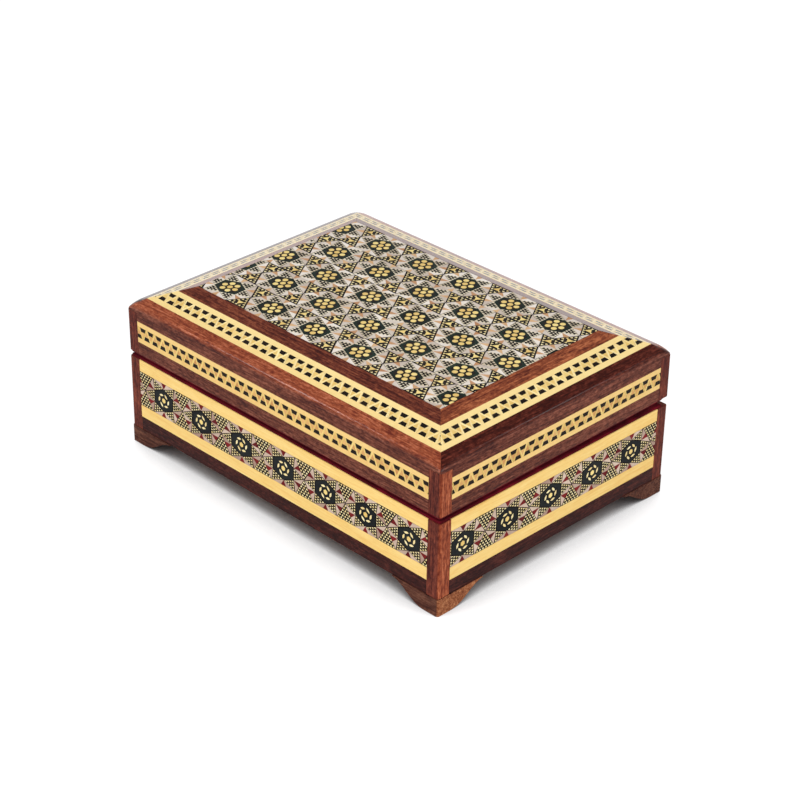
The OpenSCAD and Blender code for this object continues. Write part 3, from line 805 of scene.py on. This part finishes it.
def top_field():
    half_l, half_w = BOX_L / 2 - FIELD_INSET, BOX_W / 2 - FIELD_INSET
    outline = [(-half_l, -half_w), (half_l, -half_w), (half_l, half_w), (-half_l, half_w)]
    inlay = Inlay(ON_LID @ Matrix.Translation((0, 0, LID_H)), outline, INLAY_T, 7)
    strip = 2 * half_w / len(FIELD_ROWS)
    for k, (start, pitch) in enumerate(FIELD_ROWS):
        places = rows_of(start, pitch, half_l + 12, 0.35, inlay.random)
        low = k * strip - half_w
        khatam_strip(inlay, places, low, low + strip, TOP_STYLE)
    new_piece("mosaic_top_rods", inlay.mesh("mosaic_top"), "lid", ["mosaic_top", "field_stars"])


top_field()


SIDE_PITCH, SIDE_LINE = 4.25, 1.8
TOP_PITCH, TOP_LINE = 4.3, 1.95
LEAD = 40  # pitches that are drawn before the start; cut away, but they use random draws
# A triangle of the core, in shares of the pitch and of the core's width
BAND_TIP = (0.03, 0.98)  # half width and height of its blunt tip
BAND_ROD = (0.37, 0.24, 0.36)  # half widths, below and above, and height of the black rod
BAND_HEART = (0.22, 0.37, 0.84)  # half width, foot and tip of the lighter heart


def banding(inlay, half, high, line, start, pitch, kinds):
    """Two light lines with a core of alternate triangles, each with a black rod at its base."""
    line_kind, edge_kind, ground = kinds
    for a, b in ((0, line), (high - line, high)):
        inlay.rod([(-half, a), (half, a), (half, b), (-half, b)], line_kind)
    low, high = line, high - line
    height = high - low
    tip_w, tip = BAND_TIP
    rod_w, rod_top_w, rod_h = BAND_ROD
    heart_w, heart_foot, heart_tip = BAND_HEART
    u = start - LEAD * pitch
    while u < half + pitch:
        for base, sign, centre in ((low, 1, u), (high, -1, u + pitch / 2)):
            centre += inlay.random.uniform(-0.08, 0.08)

            def at(x, y):
                return (centre + x * pitch, base + sign * y * height)

            inlay.rod([at(-0.5, 0), at(0.5, 0), at(tip_w, tip), at(-tip_w, tip)], edge_kind)
            inlay.rod([at(-rod_w, 0), at(rod_w, 0), at(rod_top_w, rod_h), at(-rod_top_w, rod_h)],
                      "black", LAYER)
            inlay.rod([at(-heart_w, heart_foot), at(heart_w, heart_foot), at(0, heart_tip)],
                      ground, LAYER)
        u += pitch


def side_bands(side, start):
    half = run_l(side) / 2 - POST_W
    outline = [(-half, 0), (half, 0), (half, BAND_H), (-half, BAND_H)]
    matrix = ON_LID @ at_side(side) @ Matrix.Translation((0, 0, BAND_Z))
    inlay = Inlay(matrix, outline, INLAY_T, 60 + side, (0, -1, 0),
                  (Vector((1, 0, 0)), Vector((0, 0, 1))), 4)
    banding(inlay, half, BAND_H, SIDE_LINE, start, SIDE_PITCH, ("line", "gold", "straw"))
    new_piece(f"side_band_{SIDES[side]}_rods", inlay.mesh(f"side_band_{SIDES[side]}"), "lid",
              [f"side_band_{SIDES[side]}", "side_band_chips"])


def top_bands(side, start):
    outer, inner = run_l(side) / 2 - SHOULDER_W, run_l(side) / 2 - BORDER_INSET
    width = (BORDER_INSET - SHOULDER_W) / math.cos(SLOPE)
    outline = [(-outer, 0), (outer, 0), (inner, width), (-inner, width)]
    matrix = ON_LID @ at_side(side) @ Matrix.Translation((0, SHOULDER_W, BAND_EDGE_Z))
    inlay = Inlay(matrix, outline, INLAY_T, 80 + side, (0, 0, 1),
                  (Vector((1, 0, 0)), Vector((0, math.cos(SLOPE), math.sin(SLOPE)))), 4)
    banding(inlay, outer, width, TOP_LINE, start, TOP_PITCH, ("light_line", "cream", "gold"))
    new_piece(f"top_band_{SIDES[side]}_rods", inlay.mesh(f"top_band_{SIDES[side]}"), "lid",
              [f"top_band_{SIDES[side]}", "top_band_chips"])


for i, (side_start, top_start) in enumerate([(49.8, 47.0), (48.1, 46.0), (50.7, 45.1),
                                             (47.4, 46.7)]):
    side_bands(i, side_start)
    top_bands(i, top_start)


# ---- velvet ----
CORNER_REACH = 9.5  # the straight run of a wall's velvet ends this far from the corner
STATION_STEP, NOTCH_STEP, LEAST_STEP = 3, 0.05, 0.6
CORNER_STEPS = 8
LIP_R = 0.34  # the lip's rounding
LIP_TURN = (0, math.pi / 6, math.pi / 3, math.pi / 2)
LIP_FLATS, WALL_DROPS = 5, 7  # rows of faces over the rim and down the wall
PAD_NX, PAD_NY = 56, 40
PAD_EDGE = 2.2  # a pad's soft edge


def ring_stations():
    """Places round the box: per side the straight ones in mm, then the corner's turn."""
    stations = []
    for side in range(4):
        half = run_l(side) / 2 - CORNER_REACH
        marks = {half, -half}
        if side == 2:
            for hinge in (-HINGE_X, HINGE_X):
                for end in (-1, 1):
                    edge = hinge + end * (HINGE_L / 2 + VELVET_CLEAR)
                    marks |= {edge - NOTCH_STEP, edge + NOTCH_STEP}
        count = int(2 * half / STATION_STEP)
        for k in range(1, count):
            mark = -half + 2 * half * k / count
            if all(abs(mark - m) > LEAST_STEP for m in marks):
                marks.add(mark)
        stations += [(side, "run", mark) for mark in sorted(marks)]
        stations += [(side, "turn", k / CORNER_STEPS) for k in range(CORNER_STEPS + 1)]
    return stations


def ring_point(station, inset, radius):
    side, kind, value = station
    half_l, half_d = run_l(side) / 2 - inset, run_l(side + 1) / 2 - inset
    if kind == "run":
        x, y = value, -half_d
    else:
        turn = math.radians(90 * value - 90)
        x = half_l - radius + radius * math.cos(turn)
        y = -half_d + radius + radius * math.sin(turn)
    return Matrix.Rotation(math.radians(90 * side), 3, "Z") @ Vector((x, y, 0))


def lining_mesh(name, matrix, wall, reach, up):
    """Velvet down four walls with a soft lip over their rim, drawn with the rim at z = 0.

    The number at the end of a profile point says what it is: 0 fixed, 1 outer lip, 2 inner
    lip, 3 wall. The lip gives way to the hinges, and the wall is slightly uneven.
    """
    t, soft = VELVET_T, LIP_R
    profile = [(wall, reach, 0), (wall, 0, 0), (VELVET_INSET, 0, 1)]
    profile += [(VELVET_INSET + soft * (1 - math.cos(a)), up * (t - soft + soft * math.sin(a)), 1)
                for a in LIP_TURN]
    for k in range(1, LIP_FLATS):
        x = VELVET_INSET + soft + (wall + t - VELVET_INSET - 2 * soft) * k / LIP_FLATS
        profile.append((x, up * t, 1))
    profile += [(wall + t - soft * (1 - math.sin(a)), up * (t - soft + soft * math.cos(a)), 2)
                for a in LIP_TURN]
    for k in range(1, WALL_DROPS):
        profile.append((wall + t, reach * k / WALL_DROPS, 3))
    profile.append((wall + t, reach, 0))
    rnd = random.Random(5)
    back_edge = PIN_Y - KNUCKLE_R - VELVET_CLEAR
    notch_edge = PIN_Y - LEAF_D - VELVET_CLEAR
    bm = bmesh.new()
    rings = []
    for station in ring_stations():
        in_notch = station[0] == 2 and station[1] == "run" and any(
            abs(-station[2] - h) < HINGE_L / 2 + VELVET_CLEAR for h in (-HINGE_X, HINGE_X))
        puff = rnd.uniform(-0.05, 0.03)
        ring = []
        for inset, z, part in profile:
            radius = 0.6 + 1.1 * min(1.0, inset / wall)
            if part == 3:
                inset += puff
            p = ring_point(station, inset, radius)
            if part in (1, 2):
                p.y = min(p.y, notch_edge if in_notch else back_edge)
                if part == 1 and z == up * t:
                    z -= up * abs(puff) * 0.8
            p.z = z
            ring.append(bm.verts.new(matrix @ p * MM))
        rings.append(ring)
    for a, b in zip(rings, rings[1:] + rings[:1]):
        for k in range(len(profile)):
            j = (k + 1) % len(profile)
            bm.faces.new((a[k], b[k], b[j], a[j]))
    bmesh.ops.remove_doubles(bm, verts=bm.verts, dist=MERGE)
    bmesh.ops.dissolve_degenerate(bm, edges=bm.edges, dist=MERGE)
    bmesh.ops.recalc_face_normals(bm, faces=bm.faces)
    mesh = bpy.data.meshes.new(name)
    bm.to_mesh(mesh)
    bm.free()
    mesh.materials.append(VELVET)
    mesh.shade_smooth()
    mesh.set_sharp_from_angle(angle=math.radians(50))
    return mesh


def pad_mesh(name, matrix, half_l, half_w, thickness, up):
    """A thin padded panel: crowned, soft at its edges, with slight hollows."""
    bm = bmesh.new()
    nx, ny = PAD_NX, PAD_NY
    rnd = random.Random(9)
    waves = [(rnd.uniform(0.04, 0.09), rnd.uniform(0.04, 0.09), rnd.uniform(0, 6.28))
             for _ in range(5)]

    def spaced(k, n, half):
        t = 2 * k / n - 1
        return half * math.sin(t * math.pi / 2) * 0.35 + half * t * 0.65

    def height(x, y):
        dx, dy = half_l - abs(x), half_w - abs(y)
        gap = min(dx, dy)
        soft = min(1.0, gap / PAD_EDGE)
        crown = 0.5 + 0.38 * math.sqrt(max(0.0, 1 - (1 - soft) ** 2))
        swell = 0.07 * (1 - (x / half_l) ** 2) * (1 - (y / half_w) ** 2)
        ripple = sum(math.sin(a * x + b * y + c) for a, b, c in waves) / len(waves) * 0.05
        return thickness * min(1.0, crown + swell + ripple * soft)

    xs = [spaced(i, nx, half_l) for i in range(nx + 1)]
    ys = [spaced(j, ny, half_w) for j in range(ny + 1)]
    top = [[bm.verts.new((x, y, up * height(x, y))) for x in xs] for y in ys]
    for j in range(ny):
        for i in range(nx):
            bm.faces.new((top[j][i], top[j][i + 1], top[j + 1][i + 1], top[j + 1][i]))
    rim = ([top[0][i] for i in range(nx)] + [top[j][nx] for j in range(ny)]
           + [top[ny][i] for i in range(nx, 0, -1)] + [top[j][0] for j in range(ny, 0, -1)])
    low = [bm.verts.new((v.co.x, v.co.y, 0)) for v in rim]
    for k in range(len(rim)):
        j = (k + 1) % len(rim)
        bm.faces.new((rim[k], low[k], low[j], rim[j]))
    bm.faces.new(low)
    bmesh.ops.recalc_face_normals(bm, faces=bm.faces)
    for v in bm.verts:
        v.co = matrix @ v.co * MM
    mesh = bpy.data.meshes.new(name)
    bm.to_mesh(mesh)
    bm.free()
    mesh.materials.append(VELVET)
    mesh.shade_smooth()
    mesh.set_sharp_from_angle(angle=math.radians(60))
    return mesh


new_piece("base_lining_velvet",
          lining_mesh("base_lining", Matrix.Translation((0, 0, RIM_Z)), WALL, FLOOR_TOP - RIM_Z, 1),
          "base", ["base_lining"])
new_piece("lid_lining_velvet", lining_mesh("lid_lining", ON_LID, LID_WALL, CEILING_Z, -1),
          "lid", ["lid_lining"])
inner_l, inner_w = BOX_L / 2 - WALL - VELVET_T, BOX_W / 2 - WALL - VELVET_T
floor_pad = new_piece("floor_pad_velvet",
                      pad_mesh("floor_pad", Matrix.Translation((0, 0, FLOOR_TOP)), inner_l, inner_w,
                               PAD_T, 1), "base", ["floor_pad"])
ceiling_pad = new_piece("ceiling_pad_velvet",
                        pad_mesh("ceiling_pad", ON_LID @ Matrix.Translation((0, 0, CEILING_Z)),
                                 inner_l, inner_w, PAD_T, -1), "lid", ["ceiling_pad"])


# ---- floor, world and lamps ----
FLOOR_HALF, BOX_MIDDLE_Z = 3.0, 0.03  # in metres
# SHADOW_REACH is the reach in mm of the ambient occlusion that paints the floor's shadow
SHADOW_REACH = 40


def seen_or_mirrored(tree):
    """1 for rays from the camera, a mirror or glass."""
    path = tree.nodes.new("ShaderNodeLightPath")
    first = tree.nodes.new("ShaderNodeMath")
    first.operation = "MAXIMUM"
    second = tree.nodes.new("ShaderNodeMath")
    second.operation = "MAXIMUM"
    tree.links.new(path.outputs["Is Camera Ray"], first.inputs[0])
    tree.links.new(path.outputs["Is Glossy Ray"], first.inputs[1])
    tree.links.new(first.outputs[0], second.inputs[0])
    tree.links.new(path.outputs["Is Transmission Ray"], second.inputs[1])
    return second.outputs[0]


def make_floor():
    """A pale sweep that is lifted to white away from the box; near and under it the lift fades by
    ambient occlusion, so its contact shadow is real shade deepened by painted shadow.
    """
    half = FLOOR_HALF
    mesh = bpy.data.meshes.new("floor")
    mesh.from_pydata([(-half, -half, 0), (half, -half, 0), (half, half, 0), (-half, half, 0)], [],
                     [(0, 1, 2, 3)])
    floor = bpy.data.objects.new("floor", mesh)
    bpy.context.scene.collection.objects.link(floor)
    s = Shader("floor")
    seen = seen_or_mirrored(s.tree)
    # painted shadow: the camera sees a dark base, and the white lift fades where the box is near
    s.set(Base_Color=s.mix(seen, (0.86, 0.86, 0.87, 1), (0.27, 0.26, 0.265, 1)), Roughness=0.9,
          Specular_IOR_Level=0.0, Emission_Color=(1, 1, 1, 1))
    open_share = s.add("ShaderNodeAmbientOcclusion", {"Distance": SHADOW_REACH * MM}).outputs["AO"]
    lift = s.spread(open_share, 0.27, 0.64, 0.0, 0.86)
    s.tree.links.new(s.math("MULTIPLY", seen, lift), s.surface.inputs["Emission Strength"])
    mesh.materials.append(s.material)


def make_world():
    """An even studio: white where the camera looks, and dark overhead in reflections."""
    world = bpy.data.worlds.new("studio")
    bpy.context.scene.world = world
    world.use_nodes = True
    tree = world.node_tree
    background = tree.nodes["Background"]
    background.inputs["Color"].default_value = (1, 1, 1, 1)
    coord = tree.nodes.new("ShaderNodeTexCoord")
    parts = tree.nodes.new("ShaderNodeSeparateXYZ")
    tree.links.new(coord.outputs["Generated"], parts.inputs[0])

    def ranged(value, from_low, from_high, to_low, to_high):
        node = tree.nodes.new("ShaderNodeMapRange")
        for key, number in (("From Min", from_low), ("From Max", from_high),
                            ("To Min", to_low), ("To Max", to_high)):
            node.inputs[key].default_value = number
        tree.links.new(value, node.inputs["Value"])
        return node

    mirrored = ranged(parts.outputs["Z"], 0.15, 0.45, 1.0, 0.12)
    path = tree.nodes.new("ShaderNodeLightPath")
    in_mirror = ranged(path.outputs["Is Glossy Ray"], 0, 1, 0.6, 1.0)
    tree.links.new(mirrored.outputs[0], in_mirror.inputs["To Max"])
    clear = tree.nodes.new("ShaderNodeMath")
    clear.operation = "MAXIMUM"
    tree.links.new(path.outputs["Is Camera Ray"], clear.inputs[0])
    tree.links.new(path.outputs["Is Transmission Ray"], clear.inputs[1])
    strength = ranged(clear.outputs[0], 0, 1, 0.6, 1.0)
    tree.links.new(in_mirror.outputs[0], strength.inputs["To Min"])
    tree.links.new(strength.outputs[0], background.inputs["Strength"])


def lamp(name, direction, size, power):
    """A soft lamp a metre from the box, turned to it. size is its width and height."""
    middle = Vector((0, 0, BOX_MIDDLE_Z))
    data = bpy.data.lights.new(name, "AREA")
    data.shape, data.size, data.size_y = "RECTANGLE", *size
    data.energy = power
    light = bpy.data.objects.new(name, data)
    light.location = middle + Vector(direction).normalized()
    light.rotation_euler = (middle - light.location).to_track_quat("-Z", "Y").to_euler()
    light.visible_camera = False
    bpy.context.scene.collection.objects.link(light)


make_floor()
make_world()
lamp("front", (0.0, -0.75, 0.66), (0.5, 0.5), 3.0)
lamp("right", (0.75, 0.0, 0.66), (0.5, 0.5), 2.6)
lamp("low_front", (0.65, -0.65, 0.25), (0.6, 0.4), 1.0)
lamp("crest_front", (-0.61, -0.49, 0.62), (0.12, 0.12), 0.6)
lamp("crest_right", (0.49, 0.62, 0.61), (0.12, 0.12), 0.2)
bpy.context.scene.view_settings.view_transform = "Standard"
